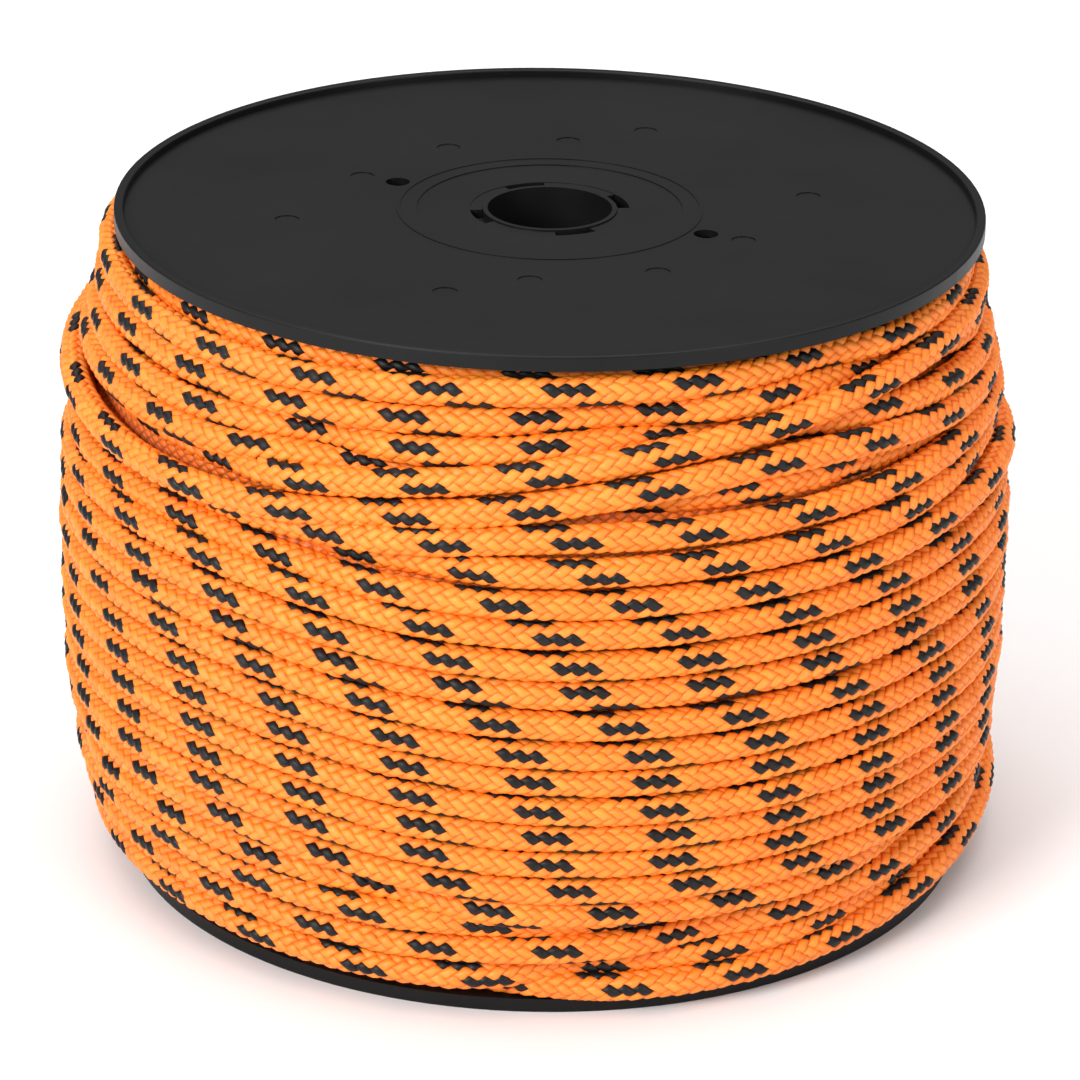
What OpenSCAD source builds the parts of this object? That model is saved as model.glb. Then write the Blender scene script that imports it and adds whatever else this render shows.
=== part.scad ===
// Braided climbing rope wound full on a knock-down moulded plastic spool.
// +Z is the spool axis. The origin is the centre of the ring that the spool stands on.

/* [Spool] */
// Outer diameter of both flanges
flange_d = 355; // [300:1:430]
// Height over both rims, standing on one flange
overall_h = 279; // [220:1:340]
// Thickness of a flange plate
plate_t = 3; // [2:0.5:5]
// Height of the rim lip above the plate's outer face
lip_h = 3; // [1.5:0.5:6]
// Radial width of the rim lip
lip_w = 4; // [3:0.5:8]
// Rounding of the lip's edges
lip_round = 0.8; // [0.3:0.1:1.2]

/* [Arbor] */
// Diameter of the bore that the spindle goes through
bore_d = 51; // [30:0.5:62]
// Wall of the arbor tube
arbor_wall = 2; // [1.5:0.5:4]
// Clearance between the arbor tube and a flange's collar, on the radius
arbor_gap = 0.15; // [0.05:0.05:0.4]
// Radial width of the collar round the arbor tube
collar_wall = 5.1; // [4:0.1:7]
// Wall of the collar behind the slots
slot_back = 1.6; // [1:0.1:3]
// How far the collar reaches into the drum from the plate's outer face
collar_depth = 22; // [14:1:40]
// How far the collar's end lies under the plate's outer face
collar_sink = 0.6; // [0.2:0.1:1.5]

/* [Snap slots] */
// Angle that one slot takes of the collar
slot_angle = 31; // [16:1:50]
// Angle from the drive holes' line to the first slot's middle
slot_turn = 45; // [25:0.5:65]
// Depth of a slot, down to the ledge that a tooth bears on
slot_depth = 6; // [4:0.5:10]
// Height of a snap tooth on the arbor tube
tooth_h = 2.5; // [1.5:0.5:4]
// How far a tooth stands out of the arbor tube
tooth_out = 2.6; // [1.5:0.1:3.4]

/* [Drum barrel] */
// Outer diameter of the barrel that the rope is wound on
barrel_d = 125; // [110:1:150]
// Wall of the barrel
barrel_wall = 3.2; // [2:0.2:6]
// Clearance between a flange's spigot and the barrel, on the radius
spigot_gap = 0.2; // [0.1:0.05:0.5]
// Wall of the spigot that centres the barrel
spigot_wall = 4.8; // [3:0.1:7]
// Height of the spigot inside the barrel
spigot_h = 12; // [6:1:25]
// Height of the ribs between collar and spigot
rib_h = 10; // [3:1:24]
// Number of ribs between collar and spigot
rib_count = 8; // [4:1:16]
// Thickness of a rib
rib_t = 2.4; // [1.5:0.1:4]

/* [Drive holes] */
// Diameter of the two drive holes through each flange
drive_hole_d = 10; // [6:0.5:12]
// Distance from the barrel's outside to the middle of a drive hole
drive_out = 7; // [7:0.5:15]
// Direction of the drive holes' line, from +X
drive_turn = -25; // [-45:1:0]

/* [Flange face] */
// Depth of the turned recess round the hub
turned_depth = 0.4; // [0.2:0.1:0.8]
// Width of the bead over the barrel's wall
bead_w = 1.2; // [0.6:0.1:2]
// Diameter of an ejector mark
mark_d = 10; // [6:0.5:14]
// Depth of an ejector mark
mark_depth = 0.4; // [0.2:0.1:0.8]
// Distance from the barrel's outside to the inner circle of ejector marks
mark_near = 23.5; // [21:0.5:30]
// Distance from the barrel's outside to the outer circle of ejector marks
mark_far = 45.5; // [42:0.5:60]

/* [Rope] */
// Diameter of the rope
rope_d = 12; // [9:0.5:14]
// Diameter of the rope's core, inside the braided sheath
core_d = 8.6; // [5:0.1:8.8]
// How far the bottom of the winding stands out past the flange
low_out = 3.5; // [-10:0.5:6]
// How far the middle of the winding stands out past the flanges
mid_out = 20.5; // [8:0.5:30]
// How far the top of the winding stands out past the flange
top_out = 1.5; // [-10:0.5:6]
// Fullness of the winding below its middle, where 1 is a straight slope
low_fullness = 3.2; // [1:0.1:5]
// Fullness of the winding above its middle
top_fullness = 2; // [1:0.1:5]

/* [Rope end] */
// Direction where the tail leaves the winding, from +X
tail_from = 112; // [108:1:118]
// Angle that the tail runs round the winding
tail_sweep = 40; // [34:1:50]
// Number of turns of the winding below the tail
turns_below = 5; // [3:1:10]
// Direction of the middle of the tape, from +X
tape_turn = 136; // [128:1:140]
// Width of the tape, along the rope
tape_w = 48; // [20:1:60]
// Thickness of the tape
tape_t = 0.4; // [0.2:0.1:1]

/* [Hidden] */
$fn = 180;

flange_r = flange_d / 2;
drive_r = barrel_d / 2 + drive_out;
barrel_r = barrel_d / 2;
bore_r = bore_d / 2;
arbor_r = bore_r + arbor_wall;
collar_bore_r = arbor_r + arbor_gap;
collar_r = collar_bore_r + collar_wall; // the ring that shows on the flange's face
collar_out_r = collar_r + slot_back;
spigot_r = barrel_r - barrel_wall - spigot_gap;
spigot_in = spigot_r - spigot_wall;     // the turned recess ends over the inside of the spigot
plate_low = lip_h;                      // outer face of the bottom plate
plate_top = overall_h - lip_h;          // outer face of the top plate
drum_low = plate_low + plate_t;
drum_top = plate_top - plate_t;
drum_h = drum_top - drum_low;
slot_count = 4;
bead_h = 0.3;
tooth_angle = slot_angle - 8;

// the outer layer of the winding
rope_r = rope_d / 2;
turns = floor(drum_h / rope_d);
pitch = drum_h / turns;
valley = 0.35 * rope_r;                 // the filled part of a groove between turns
function turn_z(k) = drum_low + (k + 0.5) * pitch;
// how far the winding stands out, at a share u of its height
function bulge(u) = u < 0.5 ? mid_out - (mid_out - low_out) * pow(1 - 2 * u, low_fullness)
                            : mid_out - (mid_out - top_out) * pow(2 * u - 1, top_fullness);
function turn_r(k) = flange_r - rope_r + bulge((k + 0.5) / turns);

// the tail lies in the groove above the turns below it
skin = 0.3;                             // the tail's and the tape's clearance from what they lie on
tail_z = (turn_z(turns_below) + turn_z(turns_below - 1)) / 2;
tail_seat_r = (turn_r(turns_below) + turn_r(turns_below - 1)) / 2;
nest = sqrt(rope_d * rope_d - pitch * pitch / 4);
tail_r = tail_seat_r + nest + skin;
tail_rings = 24;
tail_sides = 12;
tape_angle = tape_w / tail_r * 180 / PI;
tape_low = turns_below - 3;               // the turns that the tape is stuck to
tape_high = turns_below + 2;

module ring(outer_r, inner_r, low, high) {
    translate([0, 0, low])
        difference() {
            cylinder(r = outer_r, h = high - low);
            translate([0, 0, -1]) cylinder(r = inner_r, h = high - low + 2);
        }
}

// a block between two radii, over an angle whose middle is at turn
module arc_block(outer_r, inner_r, low, high, angle, turn) {
    rotate([0, 0, turn - angle / 2])
        translate([0, 0, low])
            rotate_extrude(angle = angle)
                translate([inner_r, 0]) square([outer_r - inner_r, high - low]);
}

// points of a quarter round, about a centre
function quarter(centre, r, from) =
    [for (step = [0:4]) centre + r * [cos(from - 22.5 * step), sin(from - 22.5 * step)]];

// The plate's outer face is at z = 0 and faces +Z, and the drive holes' line is along X.
module flange_body() {
    spigot_end = -plate_t - spigot_h;
    lip_in = flange_r - lip_w + lip_round;
    lip_out = flange_r - lip_round;
    lip_mid = lip_h - lip_round;
    collar = [[collar_bore_r, -collar_depth], [collar_bore_r, -collar_sink], [collar_r, -collar_sink]];
    recess = [[collar_r, -turned_depth], [spigot_in, -turned_depth], [spigot_in, 0]];
    bead = [[barrel_r - bead_w, 0], [barrel_r - bead_w, bead_h], [barrel_r, bead_h], [barrel_r, 0]];
    lip = concat([[flange_r - lip_w, 0]], quarter([lip_in, lip_mid], lip_round, 180),
                 quarter([lip_out, lip_mid], lip_round, 90));
    under = [[flange_r, -plate_t], [spigot_r, -plate_t], [spigot_r, spigot_end],
             [spigot_in, spigot_end], [spigot_in, -plate_t], [collar_out_r, -plate_t],
             [collar_out_r, -collar_depth]];
    rotate_extrude() polygon(concat(collar, recess, bead, lip, under));
}

module flange() {
    difference() {
        union() {
            flange_body();
            ribs();
        }
        for (k = [0:slot_count - 1])
            arc_block(collar_r - 0.1, collar_bore_r - 1, -slot_depth, 1, slot_angle, slot_turn + 90 * k);
        drive_holes();
        ejector_marks();
    }
}

module ribs() {
    rib_in = collar_out_r - 1;
    rib_out = spigot_in + 1;
    for (k = [0:rib_count - 1])
        rotate([0, 0, 360 * k / rib_count])
            translate([rib_in, -rib_t / 2, -plate_t - rib_h])
                cube([rib_out - rib_in, rib_t, rib_h + 1]);
}

module drive_holes() {
    for (side = [-1, 1])
        translate([side * drive_r, 0, -plate_t - 1]) cylinder(d = drive_hole_d, h = plate_t + 2);
}

module ejector_mark(r, turn) {
    rotate([0, 0, turn])
        translate([r, 0, -mark_depth]) cylinder(d = mark_d, h = 1);
}

module ejector_marks() {
    for (side = [0, 180]) {
        for (turn = [0, -35, -70]) ejector_mark(barrel_r + mark_near, turn + side);
        for (turn = [35, 93]) ejector_mark(barrel_r + mark_far, turn + side);
    }
}

module top_flange() {
    color("#303030") translate([0, 0, plate_top]) rotate([0, 0, drive_turn]) flange();
}

// the same moulding, turned over about the drive holes' line
module bottom_flange() {
    color("#303030")
        translate([0, 0, plate_low]) rotate([0, 0, drive_turn]) rotate([180, 0, 0]) flange();
}

module drum_barrel() {
    color("#3a3a3a") ring(barrel_r, barrel_r - barrel_wall, drum_low, drum_top);
}

module teeth(low, turn) {
    for (k = [0:slot_count - 1])
        arc_block(arbor_r + tooth_out, arbor_r - 0.5, low, low + tooth_h, tooth_angle, turn + 90 * k);
}

module arbor_tube() {
    color("#3a3a3a") {
        ring(arbor_r, bore_r, plate_low, plate_top);
        teeth(plate_top - slot_depth, drive_turn + slot_turn);
        teeth(plate_low + slot_depth - tooth_h, drive_turn - slot_turn);
    }
}

// The outline of the wound rope: one closed ring, with a rounded turn at each step of the outer layer.
module rope_winding() {
    inner = [[barrel_r, drum_top], [barrel_r, drum_low]];
    first = [[turn_r(0) + valley, drum_low]];
    grooves = [for (k = [0:turns - 1]) [turn_r(k) + valley, turn_z(k)]];
    last = [[turn_r(turns - 1) + valley, drum_top]];
    color("darkorange")
        rotate_extrude() {
            polygon(concat(inner, first, grooves, last));
            for (k = [0:turns - 1])
                translate([turn_r(k), turn_z(k)]) circle(r = rope_r, $fn = 48);
        }
}

// one point of a ring of points round the tail's middle line
function tail_point(r, i, j) =
    let (turn = tail_from + tail_sweep * i / (tail_rings - 1), side = 360 * j / tail_sides,
         out = tail_r + r * cos(side))
    [out * cos(turn), out * sin(turn), tail_z + r * sin(side)];

function tail_points(r) =
    [for (i = [0:tail_rings - 1], j = [0:tail_sides - 1]) tail_point(r, i, j)];

// the wall between the rings of points, whose first point has the number from
function tail_walls(from) =
    [for (i = [0:tail_rings - 2], j = [0:tail_sides - 1])
        let (n = (j + 1) % tail_sides, a = from + i * tail_sides, b = a + tail_sides)
        [a + j, b + j, b + n, a + n]];

function turned_over(faces) = [for (f = faces) [f[3], f[2], f[1], f[0]]];

// the flat ring between an outer and an inner ring of points
function cut_face(a, b) =
    [for (j = [0:tail_sides - 1]) let (n = (j + 1) % tail_sides) [a + j, a + n, b + n, b + j]];

// The sheath is a hollow sweep round the spool's axis, in the groove between two turns.
module rope_tail_sheath() {
    inner_from = tail_rings * tail_sides;
    last = (tail_rings - 1) * tail_sides;
    points = concat(tail_points(rope_r), tail_points(core_d / 2));
    faces = concat(tail_walls(0), turned_over(tail_walls(inner_from)),
                   cut_face(0, inner_from), turned_over(cut_face(last, inner_from + last)));
    color("darkorange") polyhedron(points, faces, convexity = 4);
}

// The core fills the sheath.
module rope_tail_core() {
    start = [for (j = [0:tail_sides - 1]) j];
    end = [for (j = [tail_sides - 1:-1:0]) (tail_rings - 1) * tail_sides + j];
    color("white")
        polyhedron(tail_points(core_d / 2), concat([start], tail_walls(0), [end]), convexity = 4);
}

// The band goes over the tail and down to the turns on both sides of it.
module end_tape() {
    over = tail_r + rope_r + skin;
    flat = 0.6 * rope_r;
    stuck_low = [for (k = [tape_low, tape_low + 1]) [turn_r(k) + rope_r + skin, turn_z(k)]];
    stuck_high = [for (k = [tape_high - 1, tape_high]) [turn_r(k) + rope_r + skin, turn_z(k)]];
    inside = concat(stuck_low, [[over, tail_z - flat], [over, tail_z + flat]], stuck_high);
    outside = [for (i = [len(inside) - 1:-1:0]) inside[i] + [tape_t, 0]];
    color("gainsboro")
        rotate([0, 0, tape_turn - tape_angle / 2])
            rotate_extrude(angle = tape_angle) polygon(concat(inside, outside));
}

top_flange();
bottom_flange();
drum_barrel();
arbor_tube();
rope_winding();
rope_tail_sheath();
rope_tail_core();
end_tape();
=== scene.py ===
"""A spool of climbing rope: the braided rope in its turns, its taped end, the spool and a plain studio."""
import math

import bpy
import numpy as np
from mathutils import Matrix, Vector


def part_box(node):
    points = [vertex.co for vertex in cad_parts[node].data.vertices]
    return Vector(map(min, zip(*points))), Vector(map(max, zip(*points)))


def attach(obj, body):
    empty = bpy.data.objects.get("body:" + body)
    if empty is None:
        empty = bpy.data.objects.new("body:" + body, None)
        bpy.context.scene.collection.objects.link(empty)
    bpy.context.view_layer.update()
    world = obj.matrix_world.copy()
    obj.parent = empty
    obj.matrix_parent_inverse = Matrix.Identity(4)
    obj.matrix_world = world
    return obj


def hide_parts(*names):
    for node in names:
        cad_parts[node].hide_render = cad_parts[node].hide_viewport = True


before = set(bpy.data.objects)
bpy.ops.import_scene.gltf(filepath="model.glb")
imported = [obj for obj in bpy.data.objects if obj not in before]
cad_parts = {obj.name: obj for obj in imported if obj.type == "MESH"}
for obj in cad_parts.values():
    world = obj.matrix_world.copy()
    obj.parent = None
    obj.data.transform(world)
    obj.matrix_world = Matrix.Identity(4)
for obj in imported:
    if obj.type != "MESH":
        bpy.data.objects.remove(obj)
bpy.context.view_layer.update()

MM = 0.001
BODY = "root"

# ---------------------------------------------------------------- sizes from the frame
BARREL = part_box("drum_barrel")
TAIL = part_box("rope_tail_sheath")
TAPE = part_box("end_tape")
INNER_R = BARREL[1][0] + 30 * MM         # inside of the ring of inner layers, well out of sight
DRUM_LOW, DRUM_TOP = BARREL[0][2], BARREL[1][2]
ROPE_D = TAIL[1][2] - TAIL[0][2]
ROPE_R = ROPE_D / 2
CORE_R = 4.3 * MM                        # the core fills the sheath
TAIL_Z = (TAIL[0][2] + TAIL[1][2]) / 2
TAIL_FROM, TAIL_TO = 202, 242            # degrees to the right of the front
TAIL_R = TAIL[1][1] / -math.cos(math.radians(TAIL_FROM)) - ROPE_R
TAPE_WIDTH = 48 * MM
TAPE_SHIFT = math.radians(4)             # from the tail's middle towards its end
FLANGE_RECESS_R = 54.3 * MM              # the flange's face is turned inside this

# ---------------------------------------------------------------- camera
FOCUS = Vector((-0.0021, 0, 0.1283))
DISTANCE = 2.096
ELEVATION = math.radians(23.17)
ROLL = math.radians(0.81)
LENS = 166.4

# ---------------------------------------------------------------- the rope's turns
# Turns are numbered from the top. Angles are in degrees to the right of the front, heights in mm.
TURNS = 25
PITCH = 12.14
REGULAR = range(10, 21)                  # these lie side by side
REGULAR_TOP = 171.6                      # the height that the first of them is laid out from
# How far a regular turn is over that at each angle: it steps down to the next at the front left
STEP = [(-180, 9), (-75, 9.5), (-55, 10.4), (-44, 10.2), (-30, 7.1), (-16, 1.7), (0, -2.5), (13, -4.2),
        (27, -5.1), (45, -5.1), (60, -4.8), (180, -3.14)]
LIFT = [3.3, 2.9, 2, 0.9, 0, 0, 0.3, 0.8, 1.4, 2, 2.8]           # for each of them, at the front right
WINDING_X = -4.6 * MM                    # the rope is wound off centre
SQUEEZE = 0.9                            # turns that cross press into each other
SAMPLES = 180                            # of a turn
ANGLES = np.arange(SAMPLES) * 360 / SAMPLES - 180

# Outer radius of the winding at a height
BULGE = [(6, 181), (20, 186), (40, 191.7), (60, 195), (90, 197.6), (150, 198), (190, 196.3),
         (210, 192.4), (230, 188.3), (240, 184), (250, 181.3), (273, 179)]

# The turns that cross others: angle, height and how far the turn stands out
CROSSING = {
    0: [(-180, 267, 0), (180, 267, 0)],
    1: [(-180, 267, 0), (-90, 265, 0), (-60, 260.8, 0), (-45, 259.4, 0), (-30, 259.6, 0), (-15, 262, 0),
        (0, 263.8, 0), (30, 263.5, 0), (45, 262.2, 0), (60, 261.5, 0), (90, 262, 0), (180, 256.2, 0)],
    2: [(-180, 256.2, 0), (-75, 250, 0), (-60, 249, 0), (-45, 247.8, 0), (-30, 248, 0), (-15, 249.9, 0),
        (0, 251.7, 0), (30, 253, 0), (42, 253, 0), (57, 246, 0), (75, 242, 0), (180, 245.4, 0)],
    3: [(-180, 245.4, 0), (-75, 238.5, 0), (-60, 236.8, 0), (-30, 237.2, 0), (-15, 238.7, 0), (0, 241.2, 0),
        (12, 242.4, 0), (25, 240, 0), (40, 237.2, 0), (50, 236.8, 0), (75, 231, 0), (115, 229.5, 0),
        (180, 234.6, 0)],
    4: [(-180, 234.6, 0), (-75, 227, 0), (-60, 226, 0), (-45, 226.4, 0), (-30, 228.4, 0), (-15, 227.5, 0),
        (0, 222, 0), (15, 218, 0), (30, 219.5, 0), (45, 218.4, 0), (60, 214.5, 0), (75, 214, 0),
        (115, 219, 0), (180, 223.8, 0)],
    5: [(-180, 223.8, 0), (-75, 218.5, 0), (-60, 218, 1), (-45, 217.9, 1), (-30, 221, 0), (-15, 227.1, 0),
        (0, 232.4, 0), (15, 238.3, 1), (30, 242.8, 2), (45, 247.8, 3), (60, 251.6, 4), (75, 253.5, 4),
        (110, 253, 4), (180, 240, 5)],
    6: [(-180, 240, 5), (-120, 225.5, 5), (-75, 213.5, 5), (-60, 210.4, 5), (-45, 208.4, 4), (-30, 209.8, 2),
        (-15, 214.3, 0), (0, 220.4, 0), (15, 226.4, 0), (30, 230.4, 0), (45, 228.2, 0), (60, 223, 0),
        (75, 220, 0), (115, 218.5, 0), (180, 213, 0)],
    7: [(-180, 213, 0), (-120, 209, 0), (-75, 202, 0), (-60, 200.2, 0), (-30, 201.2, 0), (-15, 204.2, 0),
        (0, 208.3, 0), (45, 207.6, 0), (60, 209.3, 1), (75, 209.5, 1), (180, 202.2, 0)],
    8: [(-180, 202.2, 0), (-120, 198, 0), (-75, 195, 0), (-45, 195, 0), (-30, 194.8, 0), (-15, 195.5, 0),
        (45, 195.6, 0), (60, 198.4, 0), (75, 199, 0), (180, 191.4, 0)],
    9: [(-180, 191.4, 0), (-75, 191.5, 2), (-60, 191.8, 2), (-45, 191.2, 1), (-30, 188, 0), (-15, 184.4, 0),
        (0, 182.2, 0), (45, 182.4, 0), (60, 185.2, 1), (75, 186, 2), (180, 180.6, 0)],
    21: [(-180, 50.2, 0), (-75, 49, 0), (-48, 48.9, 0), (-20, 44.3, 0), (0, 41, 0), (20, 38.5, 0),
         (60, 40, 0), (180, 38, 0)],
    22: [(-180, 38, 0), (-75, 35.5, 0), (-54, 35, 0), (-41, 33.2, 0), (-26, 31.2, 0), (-12, 30.4, 0),
         (3, 31.4, 0), (18, 32.4, 0), (33, 34.9, 0), (47, 37.4, 0), (60, 39.5, 0), (75, 40, 0), (110, 34, 0),
         (180, 25, 0)],
    23: [(-180, 25, 0), (-75, 22, 0), (-50, 21.4, 1), (-36, 19.3, 2), (-21, 17.8, 2), (-7, 17.4, 2),
         (10, 20.2, 1), (25, 22.9, 0), (40, 25.1, 0), (54, 27.2, 0), (70, 28, 0), (85, 26, 0), (110, 15, 0),
         (125, 12, 0), (180, 12, 0)],
    24: [(-180, 12, 0), (-75, 12, -14), (-12, 12, -14), (0, 12, -4), (12, 12, 4), (28, 12.6, 5),
         (42, 14.6, 5), (55, 18.2, 5), (70, 21, 6), (90, 27.5, 10), (110, 35, 11.5), (180, 61, 11)],
}
# How many turns further in a turn lies, between two angles
SUNK = [(4, 2.5, -20, 8), (5, 1.5, -180, -38), (7, 1.5, -180, -25), (8, 4.5, -180, -25), (8, 1.2, -25, -2),
        (8, 1.2, 55, 130), (21, 2.5, -10, 180), (24, 3.5, -180, 0)]
# For each turn, the angle of one black fleck near the front, and how far up from straight out it faces
FLECKS = [(-1, 15), (4, 28), (0, 28), (1, 30), (25, 42), (2, -20), (0, -4), (5, -2), (8, -14), (-3, 12),
          (3, 0), (5, 11), (6, 36), (-4, 8), (-1, 12), (0, 16), (1, 14), (2, 20), (2.3, 15), (5, 20),
          (10, 24), (-20, -5), (3.5, 12), (-5, -15), (12.5, 3)]

# ---------------------------------------------------------------- the rope's braid
BRAID_PITCH = 48.4 * MM                  # length in which a strand goes once round
STRANDS = 8                              # in each direction
BLACK = 3                                # of them in one direction, black
# How far a fleck's middle is from where the strands are counted, in pitches
FLECK_MIDDLE = (1.5 - BLACK) / (2 * STRANDS)
VALLEY_R = 4.95 * MM
CROWN = 1.2 * MM                         # height of a strand over the valleys
SHOWN = 118                              # degrees from straight out that the braid is made to
SHOWN_CROSSING = 150                     # and where turns cross
SHOWN_END = 0.25                         # length at the rope's end that is braided all round
ACROSS = np.array([-1, -0.74, 0, 0.74, 1])                       # points of a strand's patch
LENGTHWISE = np.array([-1, -0.84, -0.45, 0, 0.45, 0.84, 1])
TUBE_SIDES = 12                          # of the closed tube under the strands
TUBE_STEP = 10 * MM
TILES = 4                                # strand patterns across the UV map
RNG = np.random.default_rng(7)


def smoothstep(low, high, x):
    t = np.clip((x - low) / (high - low), 0, 1)
    return t * t * (3 - 2 * t)


def blur(values, width):
    """Values smoothed over a Gaussian of that width, in samples."""
    reach = int(3 * width)
    weights = np.exp(-0.5 * (np.arange(-reach, reach + 1) / width) ** 2)
    padded = np.pad(values, reach, mode="edge")
    return np.convolve(padded, weights / weights.sum(), mode="valid")


def bulge(height):
    """Outer radius of the winding at a height, both in mm."""
    return np.interp(height, *np.array(BULGE).T)


def laid_turns():
    """Heights, nominal radii and ranks of all turns, one row for each, and the tail's turn last."""
    heights, radii, ranks = [], [], []
    for turn in range(TURNS + 1):
        out = np.zeros(SAMPLES)
        if turn in CROSSING:
            at, height, push = np.array(CROSSING[turn]).T
            z = np.interp(ANGLES, at, height)
            out = np.interp(ANGLES, at, push)
        elif turn in REGULAR:
            nth = turn - REGULAR[0]
            z = REGULAR_TOP - PITCH * nth + np.interp(ANGLES, *np.array(STEP).T)
            z += LIFT[nth] * np.interp(ANGLES, [-15, 20, 60, 120], [0, 1, 1, 0])
        else:
            z = np.interp(ANGLES, [-180, TAIL_FROM - 360], [CROSSING[TURNS - 1][-1][1], TAIL_Z / MM])
            out = out + CROSSING[TURNS - 1][-1][2]
        rank = np.full(SAMPLES, float(turn))
        for sunk, by, start, end in SUNK:
            if sunk == turn:
                rank[(ANGLES >= start) & (ANGLES <= end)] -= by
        heights.append(z)
        radii.append(bulge(z) - ROPE_R / MM + out)
        ranks.append(rank)
    return np.array(heights), np.array(radii), np.array(ranks)


def settled(heights, radii, ranks):
    """Radii with each turn pushed in under those that lie over it."""
    radii = radii.copy()
    reach = SQUEEZE * ROPE_D / MM
    order = np.argsort(-ranks, axis=0)
    for i in range(SAMPLES):
        for n in range(1, len(order)):
            turn, over = order[n, i], order[:n, i]
            gap = heights[over, i] - heights[turn, i]
            near = np.abs(gap) < reach
            if near.any():
                most = radii[over, i][near] - np.sqrt(reach ** 2 - gap[near] ** 2)
                radii[turn, i] = min(radii[turn, i], most.min())
    return radii


def braid_count(fleck_along, length):
    """Counts of the braid's pitches, and how far along the rope each comes.

    Between the flecks that are placed at the front lies a whole number of pitches.
    """
    pitches = np.concatenate([[0], np.cumsum(np.round(np.diff(fleck_along) / BRAID_PITCH))])
    before, after = fleck_along[0] / BRAID_PITCH, (length - fleck_along[-1]) / BRAID_PITCH
    pitches = np.concatenate([[-before], pitches, [pitches[-1] + after]])
    return pitches + np.ceil(before) + FLECK_MIDDLE, np.concatenate([[0], fleck_along, [length]])


def rope_route():
    """The rope's middle line at each mm along it, with which way is outward and upward there.

    It also holds the turn, the way that the flecks face, and the braid's count of pitches.
    """
    heights, radii, ranks = laid_turns()
    radii = settled(heights, radii, ranks)
    count = TURNS * SAMPLES + int((TAIL_TO - 180) * SAMPLES / 360) + 1
    angle = math.radians(-180) + np.arange(count) * 2 * math.pi / SAMPLES
    z = blur(heights.ravel()[:count], 2)
    r = blur(radii.ravel()[:count], 2)
    turn = np.arange(count) / SAMPLES
    # a little unevenness
    z += 0.2 * np.sin(turn * 2 * math.pi * 1.37) + 0.15 * np.sin(turn * 2 * math.pi * 3.1)
    r += 0.4 * np.sin(turn * 2 * math.pi * 0.61 + 1) + 0.25 * np.sin(turn * 2 * math.pi * 2.3)
    fleck_at, fleck_side = np.array(FLECKS).T
    fleck_turn = np.arange(TURNS) + 0.5 + fleck_at / 360
    facing = np.interp(turn, fleck_turn, fleck_side)
    points = np.stack([r * np.sin(angle) * MM + WINDING_X, -r * np.cos(angle) * MM, z * MM], 1)
    steps = np.linalg.norm(np.diff(points, axis=0), axis=1)
    along = np.concatenate([[0], np.cumsum(steps)])
    even = np.arange(0, along[-1], MM)
    points = np.stack([np.interp(even, along, points[:, i]) for i in range(3)], 1)
    points = np.stack([blur(points[:, i], 6) for i in range(3)], 1)
    facing = np.radians(np.interp(even, along, facing))
    braid = braid_count(np.interp(fleck_turn, turn, along), even[-1])
    turn = np.interp(even, along, turn)
    tangent = np.gradient(points, axis=0)
    tangent /= np.linalg.norm(tangent, axis=1, keepdims=True)
    outward = points * [1, 1, 0] - [WINDING_X, 0, 0]
    outward -= tangent * (outward * tangent).sum(1, keepdims=True)
    outward /= np.linalg.norm(outward, axis=1, keepdims=True)
    upward = np.cross(outward, tangent)
    return {"at": even, "point": points, "outward": outward, "upward": upward, "facing": facing,
            "braid": braid, "turn": turn}


def on_rope(route, at, radius, side):
    """Points a distance along the rope, a radius from its middle line and an angle up from straight out."""
    def here(values):
        return np.stack([np.interp(at, route["at"], values[:, i]) for i in range(3)], -1)

    c, s = (radius * np.cos(side))[..., None], (radius * np.sin(side))[..., None]
    return here(route["point"]) + c * here(route["outward"]) + s * here(route["upward"])


# ---------------------------------------------------------------- meshes
def quad_grid(rows, cols, wrap=False):
    """Quads of a grid of points, row by row. A wrapped grid closes on itself along its rows."""
    i, j = np.meshgrid(np.arange(rows - 1), np.arange(cols if wrap else cols - 1), indexing="ij")
    k = (j + 1) % cols
    return np.stack([i * cols + j, i * cols + k, (i + 1) * cols + k, (i + 1) * cols + j], -1).reshape(-1, 4)


def make_mesh(name, points, quads, materials, slots=None, uv=None):
    """A smooth-shaded object made of quads. slots gives each quad's material, uv each corner's place."""
    mesh = bpy.data.meshes.new(name)
    mesh.vertices.add(len(points))
    mesh.vertices.foreach_set("co", np.asarray(points, np.float32).ravel())
    mesh.loops.add(len(quads) * 4)
    mesh.loops.foreach_set("vertex_index", np.asarray(quads, np.int32).ravel())
    mesh.polygons.add(len(quads))
    mesh.polygons.foreach_set("loop_start", np.arange(len(quads), dtype=np.int32) * 4)
    mesh.polygons.foreach_set("use_smooth", np.ones(len(quads), bool))
    for material in materials:
        mesh.materials.append(material)
    if slots is not None:
        mesh.polygons.foreach_set("material_index", np.asarray(slots, np.int32))
    if uv is not None:
        layer = mesh.uv_layers.new(name="OFBake")
        layer.data.foreach_set("uv", np.asarray(uv, np.float32).ravel())
    mesh.update(calc_edges=True)
    obj = bpy.data.objects.new(name, mesh)
    bpy.context.scene.collection.objects.link(obj)
    return obj


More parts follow.
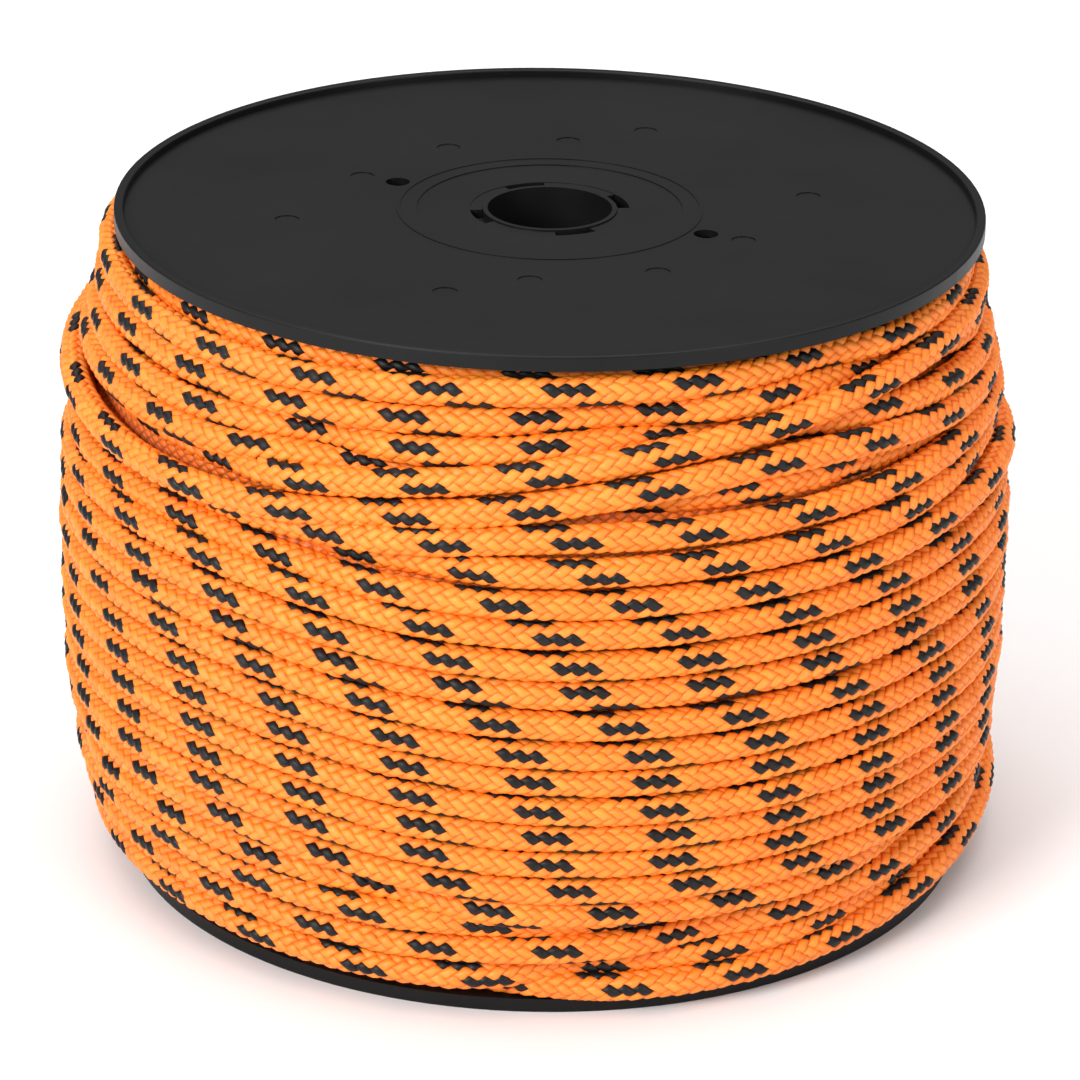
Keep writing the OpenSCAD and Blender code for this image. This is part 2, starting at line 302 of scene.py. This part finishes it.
def strand_middles(length):
    """The middle of each stretch where a strand lies on top: along, round, strand, and which way it runs.

    The two sets of strands cross on a lattice, and each goes over two and under two of the others.
    """
    count = int(length / BRAID_PITCH * STRANDS) + 2 * STRANDS
    rows = []
    for track in range(4):
        strand = np.arange(-count, 2 * STRANDS)
        rows.append((4 * track - 2 * strand + 0.5, np.full(len(strand), 4 * track + 0.5), strand % STRANDS,
                     np.zeros(len(strand), int)))
        strand = np.arange(-2 * STRANDS, count)
        rows.append((2 * strand - 4 * track - 2.5, np.full(len(strand), 4 * track + 2.5), strand % STRANDS,
                     np.ones(len(strand), int)))
    return [np.concatenate(x) for x in zip(*rows)]


def braid_mesh(route, materials):
    """The rope: a closed tube, and over it each strand's stretches as separate rounded patches."""
    length = route["at"][-1]
    along, round_, strand, other = strand_middles(length)
    pitches, pitch_at = route["braid"]
    at = np.interp(along / (2 * STRANDS), pitches, pitch_at, left=-1, right=-1)
    side = np.interp(at, route["at"], route["facing"]) - (round_ - 0.5) * math.pi / STRANDS
    side = (side + math.pi) % (2 * math.pi) - math.pi
    lattice = BRAID_PITCH / (2 * STRANDS)
    keep = (at > 0) & (at < length - 0.5 * lattice)
    turn = np.interp(at, route["at"], route["turn"])
    shown = np.where((turn > REGULAR[0]) & (turn < REGULAR[-1] + 1), SHOWN, SHOWN_CROSSING)
    keep &= (np.abs(side) < np.radians(shown)) | (at > length - SHOWN_END)
    at, side, strand, other = at[keep], side[keep], strand[keep], other[keep]

    y, x = np.meshgrid(LENGTHWISE, ACROSS, indexing="ij")
    x, y = x.ravel(), y.ravel()
    # a strand is full where it crosses the middle of another, and its ends go under its neighbours' sides
    full = (1 - np.abs(x) ** 2.6) ** 0.6 * np.clip(1 - np.abs(y) ** 3, 0, 1) ** 0.8
    radius = VALLEY_R + CROWN * full - 0.3 * MM * smoothstep(0.85, 1, np.abs(y))
    beside_end = smoothstep(-0.1, 0.35, np.sign(x) * y) * (1 - smoothstep(0.75, 1, np.abs(y)))
    x_at = 0.5 * x * (1.06 + 0.36 * beside_end)
    y_at = y * 0.98
    # one set of strands runs along the lattice's second axis, and the other along its first
    first = np.where(other[:, None] == 1, y_at, x_at)
    second = np.where(other[:, None] == 1, x_at, y_at)
    points_at = at[:, None] + (second - first) * lattice
    points_side = side[:, None] - (first + second) * math.pi / STRANDS
    lift = 1 + 0.02 * RNG.standard_normal(len(at))
    points = on_rope(route, points_at.ravel(), (radius[None] * lift[:, None]).ravel(), points_side.ravel())

    patch = quad_grid(len(LENGTHWISE), len(ACROSS))
    flip = patch[:, ::-1]
    per = len(x)
    start = np.arange(len(at)) * per
    quads = np.where(other[:, None, None] == 1, patch[None], flip[None]) + start[:, None, None]
    black = (other == 0) & (strand < BLACK)
    tile = RNG.integers(0, TILES * TILES, len(at))
    corner = np.stack([(x + 1) / 2, (y + 1) / 2], 1) * 0.94 + 0.03
    corner_uv = np.where(other[:, None, None, None] == 1, corner[patch][None], corner[flip][None])
    origin = np.stack([tile % TILES, tile // TILES], 1)[:, None, None]
    uv = (corner_uv + origin) / TILES

    rings = np.append(np.arange(0, length, TUBE_STEP), length)
    ring_at, ring_side = np.meshgrid(rings, np.arange(TUBE_SIDES) * 2 * math.pi / TUBE_SIDES, indexing="ij")
    tube = on_rope(route, ring_at.ravel(), np.full(ring_at.size, VALLEY_R + 0.02 * MM), ring_side.ravel())
    tube_quads = quad_grid(len(rings), TUBE_SIDES, wrap=True) + len(points)
    tube_uv = np.full((len(tube_quads), 4, 2), 0.5 / TILES)

    slots = np.concatenate([np.repeat(black.astype(int), len(patch)), np.full(len(tube_quads), 2)])
    return make_mesh("rope", np.concatenate([points, tube]),
                     np.concatenate([quads.reshape(-1, 4), tube_quads]), materials, slots,
                     np.concatenate([uv.reshape(-1, 4, 2), tube_uv]))


def inner_layers(material):
    """The layers under the outer one: a closed ring with a ridge for each turn, lower beside the flanges."""
    ridges, points_per_ridge, around = 22, 10, 144
    ridge_height, lower_by = 3 * MM, 5 * MM
    z = np.linspace(DRUM_LOW, DRUM_TOP, ridges * points_per_ridge + 1)
    near_end = np.clip(1 - (np.minimum(z - DRUM_LOW, DRUM_TOP - z) - ROPE_R) / ROPE_D, 0, 1)
    crest = bulge(z / MM) * MM - ROPE_D - lower_by * near_end
    ridge = ridge_height * np.abs(np.cos(np.linspace(0, ridges * math.pi, len(z)))) - ridge_height
    outline = np.concatenate([[[INNER_R, DRUM_TOP], [INNER_R, DRUM_LOW]], np.stack([crest + ridge, z], 1)])
    turn = np.arange(around) * 2 * math.pi / around
    r, a = np.meshgrid(outline[:, 0], turn, indexing="ij")
    height = np.repeat(outline[:, 1], around)
    points = np.stack([(r * np.cos(a)).ravel() + WINDING_X, (r * np.sin(a)).ravel(), height], 1)
    quads = quad_grid(len(outline), around, wrap=True)
    last = (len(outline) - 1) * around
    close = np.stack([last + np.arange(around), last + (np.arange(around) + 1) % around,
                      (np.arange(around) + 1) % around, np.arange(around)], 1)
    return make_mesh("rope_inner_layers", points, np.concatenate([quads, close])[:, ::-1], [material])


def core_end(route, material):
    """The end of the core: a bundle of twisted yarns, cut off square and a little domed."""
    length = route["at"][-1]
    sides, rings, yarns = 72, 9, 7
    dome = 1.4 * MM
    side = np.arange(sides) * 2 * math.pi / sides
    rows = [(at, np.full(sides, CORE_R)) for at in (length - 12 * MM, length - 2 * MM)]
    for ring in range(rings):
        t = ring / rings
        yarn = 1 + 0.07 * np.cos(yarns * side + 2.5 * t) * (1 - t)
        rows.append((length + dome * math.sin(t * math.pi / 2), CORE_R * (1 - t ** 1.6) * yarn))
    points = [on_rope(route, np.full(sides, min(at, length)), radius, side) for at, radius in rows]
    end = route["point"][-1] - route["point"][-8]
    end /= np.linalg.norm(end)
    for i, (at, _) in enumerate(rows):
        points[i] = points[i] + end * max(0, at - length)
    quads = quad_grid(len(rows), sides, wrap=True)
    return make_mesh("rope_core_end", np.concatenate(points), quads, [material])


def tape_mesh(route, material):
    """The strip of tape: taut over the turns that stand out, and sagging a little between them."""
    low, high = TAPE[0][2] - 1 * MM, TAPE[1][2] + 1 * MM
    middle = math.radians((TAIL_FROM + TAIL_TO) / 2) + TAPE_SHIFT
    half = TAPE_WIDTH / 2 / TAIL_R
    rows, cols = 97, 33
    sag, above = 0.18, 0.25 * MM
    z = np.linspace(low, high, rows)
    path = route["point"]
    angle = np.arctan2(path[:, 0] - WINDING_X, -path[:, 1]) % (2 * math.pi)
    radius = np.hypot(path[:, 0] - WINDING_X, path[:, 1])
    points = []
    for col in np.linspace(middle - half, middle + half, cols):
        crossing = np.flatnonzero(np.diff(np.sign(angle - col)) > 0)
        crossing = crossing[np.abs(angle[crossing] - col) < 0.1]
        surface = np.full(rows, 0.0)
        for i in crossing:
            gap = z - path[i, 2]
            on = np.abs(gap) < ROPE_R
            top = radius[i] + np.sqrt(ROPE_R ** 2 - gap[on] ** 2)
            surface[on] = np.maximum(surface[on], top)
        surface = np.maximum(surface, surface[surface > 0].min())
        taut = surface.copy()
        for i in range(rows):
            left, right = np.arange(i + 1)[:, None], np.arange(i, rows)[None]
            span = np.maximum(right - left, 1)
            line = (surface[left] * (right - i) + surface[right] * (i - left)) / span
            taut[i] = max(taut[i], line[right > left].max())
        r = (1 - sag) * taut + sag * surface + above
        points.append(np.stack([r * math.sin(col) + WINDING_X, -r * math.cos(col), z], 1))
    quads = quad_grid(cols, rows)
    return make_mesh("tape", np.concatenate(points), quads, [material])


# ---------------------------------------------------------------- materials
def new_material(name, color, roughness, **more):
    """A material, its node tree and its shader. more sets the shader's other sockets, with _ for a space."""
    material = bpy.data.materials.new(name)
    material.use_nodes = True
    shader = material.node_tree.nodes["Principled BSDF"]
    shader.inputs["Base Color"].default_value = (*color, 1)
    shader.inputs["Roughness"].default_value = roughness
    for socket, value in more.items():
        shader.inputs[socket.replace("_", " ")].default_value = value
    return material, material.node_tree, shader


def node(tree, kind, **values):
    """A new node. values are its sockets' values or its settings."""
    made = tree.nodes.new(kind)
    for name, value in values.items():
        if name in made.inputs:
            made.inputs[name].default_value = value
        else:
            setattr(made, name, value)
    return made


def math_node(tree, operation, a, b=None):
    """The output of a math node. a and b are numbers or sockets."""
    made = node(tree, "ShaderNodeMath", operation=operation)
    for i, value in enumerate((a, b)):
        if isinstance(value, (int, float)):
            made.inputs[i].default_value = value
        elif value is not None:
            tree.links.new(value, made.inputs[i])
    return made.outputs[0]


def bumped(tree, shader, height, distance, strength=1.0):
    """Gives a shader a bump of that height."""
    bump = node(tree, "ShaderNodeBump", Distance=distance, Strength=strength)
    tree.links.new(height, bump.inputs["Height"])
    tree.links.new(bump.outputs["Normal"], shader.inputs["Normal"])


def ramp(tree, factor, *stops):
    """The colour that a factor has between stops, each a place and a colour."""
    made = node(tree, "ShaderNodeValToRGB")
    elements = made.color_ramp.elements
    while len(elements) < len(stops):
        elements.new(0.5)
    for element, (at, color) in zip(elements, stops):
        element.position = at
        element.color = (*color, 1)
    tree.links.new(factor, made.inputs["Fac"])
    return made.outputs["Color"]


def yarn_material(name, dark, body, light, roughness, **more):
    """A strand of many fine fibres, which run along it. Each tile of the UV map is one strand's stretch."""
    material, tree, shader = new_material(name, body, roughness, **more)
    place = node(tree, "ShaderNodeUVMap", uv_map="OFBake")
    scaled = node(tree, "ShaderNodeVectorMath", operation="SCALE", Scale=TILES)
    tree.links.new(place.outputs["UV"], scaled.inputs[0])
    tile = node(tree, "ShaderNodeVectorMath", operation="FLOOR")
    tree.links.new(scaled.outputs["Vector"], tile.inputs[0])
    local = node(tree, "ShaderNodeVectorMath", operation="FRACTION")
    tree.links.new(scaled.outputs["Vector"], local.inputs[0])
    split = node(tree, "ShaderNodeSeparateXYZ")
    tree.links.new(local.outputs["Vector"], split.inputs[0])
    which = node(tree, "ShaderNodeTexWhiteNoise", noise_dimensions="3D")
    tree.links.new(tile.outputs["Vector"], which.inputs["Vector"])

    fibre_at = node(tree, "ShaderNodeCombineXYZ")
    tree.links.new(math_node(tree, "MULTIPLY", split.outputs["X"], 26), fibre_at.inputs["X"])
    tree.links.new(math_node(tree, "MULTIPLY", split.outputs["Y"], 1.6), fibre_at.inputs["Y"])
    tree.links.new(math_node(tree, "MULTIPLY", which.outputs["Value"], 40), fibre_at.inputs["Z"])
    fibre = node(tree, "ShaderNodeTexNoise", Scale=1.0, Detail=3.0, Roughness=0.6)
    tree.links.new(fibre_at.outputs["Vector"], fibre.inputs["Vector"])

    # painted shade: the colour darkens where the strand's sides and ends go under the others, where shade
    # falls
    side = math_node(tree, "ABSOLUTE", math_node(tree, "SUBTRACT", split.outputs["X"], 0.5))
    end = math_node(tree, "ABSOLUTE", math_node(tree, "SUBTRACT", split.outputs["Y"], 0.5))
    painted_shade = math_node(tree, "MAXIMUM", math_node(tree, "POWER", math_node(tree, "MULTIPLY", side, 2), 5),
                     math_node(tree, "POWER", math_node(tree, "MULTIPLY", end, 2), 6))
    tone = math_node(tree, "ADD", math_node(tree, "MULTIPLY", fibre.outputs["Fac"], 0.75),
                     math_node(tree, "MULTIPLY", which.outputs["Value"], 0.22))
    # the painted shade takes the tone down towards the dark colour at the strand's sides and ends
    tone = math_node(tree, "SUBTRACT", tone, math_node(tree, "MULTIPLY", painted_shade, 0.45))
    color = ramp(tree, tone, (0.02, dark), (0.42, body), (0.8, light))
    tree.links.new(color, shader.inputs["Base Color"])
    bumped(tree, shader, fibre.outputs["Fac"], 0.12 * MM, 0.8)
    return material


def under_material(name, color, roughness):
    """The rope deep in the winding, seen only in the gaps: the strands cross as two sets of waves, with
    painted shade in the grooves between them.
    """
    material, tree, shader = new_material(name, color, roughness)
    place = node(tree, "ShaderNodeTexCoord")
    split = node(tree, "ShaderNodeSeparateXYZ")
    tree.links.new(place.outputs["Object"], split.inputs[0])
    angle = math_node(tree, "ARCTAN2", split.outputs["Y"], split.outputs["X"])
    mean_radius = 180 * MM
    along = math_node(tree, "MULTIPLY", angle, mean_radius * math.pi * STRANDS / BRAID_PITCH)
    up = math_node(tree, "MULTIPLY", split.outputs["Z"], STRANDS / ROPE_D)
    strands = [math_node(tree, "ABSOLUTE", math_node(tree, "SINE", math_node(tree, operation, along, up)))
               for operation in ("ADD", "SUBTRACT")]
    strand = math_node(tree, "MULTIPLY", *strands)
    # painted shade: the colour runs from 0.55 of the orange in the grooves between the crossing strands to
    # 1.15 of it on their crowns
    painted_groove_shade = [tuple(c * k for c in color) for k in (0.55, 1.15)]
    tree.links.new(ramp(tree, strand, (0.05, painted_groove_shade[0]), (0.5, painted_groove_shade[1])), shader.inputs["Base Color"])
    bumped(tree, shader, strand, 0.8 * MM)
    return material


def core_material():
    """Undyed core yarns, cut across, with painted shade in the gaps between them."""
    material, tree, shader = new_material("rope_core", (0.8, 0.78, 0.7), 0.8)
    place = node(tree, "ShaderNodeTexCoord")
    yarn = node(tree, "ShaderNodeTexVoronoi", Scale=700.0)
    tree.links.new(place.outputs["Object"], yarn.inputs["Vector"])
    # painted shade: each yarn's end darkens from its middle towards its edge, in the recessed gaps between
    # the yarns
    color = ramp(tree, yarn.outputs["Distance"], (0.0, (0.84, 0.82, 0.75)), (0.7, (0.5, 0.47, 0.4)))
    tree.links.new(color, shader.inputs["Base Color"])
    bumped(tree, shader, yarn.outputs["Distance"], -0.3 * MM)
    return material


def plastic_material(name, turned):
    """Satin black moulded plastic with faint flow marks and fine scratches, and turned rings at the hub."""
    material, tree, shader = new_material(name, (0.006, 0.006, 0.0063), 0.38, Specular_IOR_Level=0.17)
    place = node(tree, "ShaderNodeTexCoord")
    grain = node(tree, "ShaderNodeTexNoise", Scale=2500.0, Detail=2.0)
    cloud = node(tree, "ShaderNodeTexNoise", Scale=14.0, Detail=4.0, Roughness=0.65)
    for texture in (grain, cloud):
        tree.links.new(place.outputs["Object"], texture.inputs["Vector"])
    color = ramp(tree, cloud.outputs["Fac"], (0.3, (0.005, 0.005, 0.0052)), (0.7, (0.007, 0.007, 0.0073)))
    tree.links.new(color, shader.inputs["Base Color"])
    rough = math_node(tree, "ADD", math_node(tree, "MULTIPLY", cloud.outputs["Fac"], 0.16), 0.3)
    tree.links.new(rough, shader.inputs["Roughness"])
    height = math_node(tree, "MULTIPLY", grain.outputs["Fac"], 0.25)

    # scratches: thin lines of stretched noise in three directions
    for turn in (0.4, 1.5, 2.6):
        aim = node(tree, "ShaderNodeMapping", Rotation=(0, 0, turn), Scale=(9, 900, 900))
        tree.links.new(place.outputs["Object"], aim.inputs["Vector"])
        line = node(tree, "ShaderNodeTexNoise", Scale=1.0, Detail=1.0)
        tree.links.new(aim.outputs["Vector"], line.inputs["Vector"])
        cut = math_node(tree, "MULTIPLY", math_node(tree, "GREATER_THAN", line.outputs["Fac"], 0.76), 0.35)
        height = math_node(tree, "SUBTRACT", height, cut)
    if turned:
        split = node(tree, "ShaderNodeSeparateXYZ")
        tree.links.new(place.outputs["Object"], split.inputs[0])
        flat = math_node(tree, "ADD", math_node(tree, "POWER", split.outputs["X"], 2),
                         math_node(tree, "POWER", split.outputs["Y"], 2))
        radius = math_node(tree, "SQRT", flat)
        feed = 1.1 * MM                  # of the turning tool
        ring = math_node(tree, "SINE", math_node(tree, "MULTIPLY", radius, 2 * math.pi / feed))
        inside = math_node(tree, "LESS_THAN", radius, FLANGE_RECESS_R)
        depth = math_node(tree, "MULTIPLY", inside, 0.3)
        height = math_node(tree, "ADD", height, math_node(tree, "MULTIPLY", ring, depth))
    bumped(tree, shader, height, 0.05 * MM)
    return material


def tape_material():
    """Clear packing tape with faint wrinkles."""
    material, tree, shader = new_material("tape", (0.82, 0.77, 0.62), 0.16, Alpha=0.2, IOR=1.49)
    place = node(tree, "ShaderNodeTexCoord")
    cloud = node(tree, "ShaderNodeTexNoise", Scale=160.0, Detail=3.0)
    tree.links.new(place.outputs["Object"], cloud.inputs["Vector"])
    color = ramp(tree, cloud.outputs["Fac"], (0.3, (0.78, 0.72, 0.56)), (0.7, (0.88, 0.84, 0.72)))
    tree.links.new(color, shader.inputs["Base Color"])
    bumped(tree, shader, cloud.outputs["Fac"], 0.2 * MM)
    return material


def floor_material():
    """Matt white paper."""
    return new_material("floor", (0.86, 0.86, 0.86), 0.6)[0]


# ---------------------------------------------------------------- studio
def make_camera():
    """The photo's camera."""
    back = Vector((0, -math.cos(ELEVATION), math.sin(ELEVATION)))
    right = Vector((1, 0, 0))
    up = right.cross(-back)
    turned_x = math.cos(ROLL) * right + math.sin(ROLL) * up
    turned_y = -math.sin(ROLL) * right + math.cos(ROLL) * up
    data = bpy.data.cameras.new("camera")
    data.lens = LENS
    data.sensor_width = 36
    data.clip_end = 50
    camera = bpy.data.objects.new("camera", data)
    camera.matrix_world = Matrix.Translation(FOCUS + back * DISTANCE) @ Matrix(
        (turned_x, turned_y, back)).transposed().to_4x4()
    bpy.context.scene.collection.objects.link(camera)
    bpy.context.scene.camera = camera


def area_light(name, place, aim, size, power):
    """A white soft box that faces its aim."""
    data = bpy.data.lights.new(name, "AREA")
    data.shape = "RECTANGLE"
    data.size, data.size_y = size
    data.energy = power
    light = bpy.data.objects.new(name, data)
    way = Vector(place) - Vector(aim)
    light.matrix_world = Matrix.Translation(Vector(place)) @ way.to_track_quat("Z", "Y").to_matrix().to_4x4()
    bpy.context.scene.collection.objects.link(light)


def make_studio():
    """A dim surround with a bright ceiling, three soft lights and a plain floor."""
    world = bpy.data.worlds.new("studio")
    world.use_nodes = True
    tree = world.node_tree
    way = node(tree, "ShaderNodeTexCoord")
    split = node(tree, "ShaderNodeSeparateXYZ")
    tree.links.new(way.outputs["Generated"], split.inputs[0])
    dim, bright = (0.09, 0.09, 0.09), (0.9, 0.9, 0.9)
    sky = ramp(tree, split.outputs["Z"], (0.3, dim), (0.75, bright))
    tree.links.new(sky, tree.nodes["Background"].inputs["Color"])
    bpy.context.scene.world = world
    bpy.context.scene.view_settings.view_transform = "Standard"
    middle = (0, 0, 0.14)
    area_light("key", (-3.0, -3.7, 2.7), middle, (2.3, 2.3), 286)
    area_light("fill", (3.4, -3.4, 1.6), middle, (2.3, 2.3), 78)
    area_light("top", (0, 0.4, 2.6), middle, (2.5, 2.5), 42)
    reach = 30
    corners = np.array([[-1, -1, 0], [1, -1, 0], [1, 1, 0], [-1, 1, 0]]) * reach
    floor = make_mesh("floor", corners, np.array([[0, 1, 2, 3]]), [floor_material()])


# ---------------------------------------------------------------- the object
def repaint(name, material):
    """Gives a CAD piece a material."""
    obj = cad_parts[name]
    obj.data.materials.clear()
    obj.data.materials.append(material)


def make_rope():
    """The rope with its cut end and the layers under it, and the tape that holds it down."""
    route = rope_route()
    orange = yarn_material("rope_orange", (0.6, 0.075, 0.004), (0.9, 0.215, 0.014), (0.97, 0.33, 0.04), 0.45,
                           Specular_IOR_Level=0.45)
    black = yarn_material("rope_black", (0.002, 0.002, 0.0025), (0.005, 0.005, 0.0055),
                          (0.013, 0.013, 0.0135), 0.42, Specular_IOR_Level=0.25)
    under = under_material("rope_under", (0.8, 0.17, 0.012), 0.5)
    rope = braid_mesh(route, [orange, black, under])
    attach(rope, BODY)
    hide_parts("rope_winding", "rope_tail_sheath")
    core = core_end(route, core_material())
    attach(core, BODY)
    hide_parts("rope_tail_core")
    inner = inner_layers(under)
    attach(inner, BODY)
    tape = tape_mesh(route, tape_material())
    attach(tape, BODY)
    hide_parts("end_tape")


def paint_spool():
    """Materials for the pieces that stay as the CAD made them."""
    face = plastic_material("spool_face", True)
    plain = plastic_material("spool_plain", False)
    for name in ("top_flange", "bottom_flange"):
        repaint(name, face)
    for name in ("drum_barrel", "arbor_tube"):
        repaint(name, plain)


make_camera()
make_rope()
paint_spool()
make_studio()
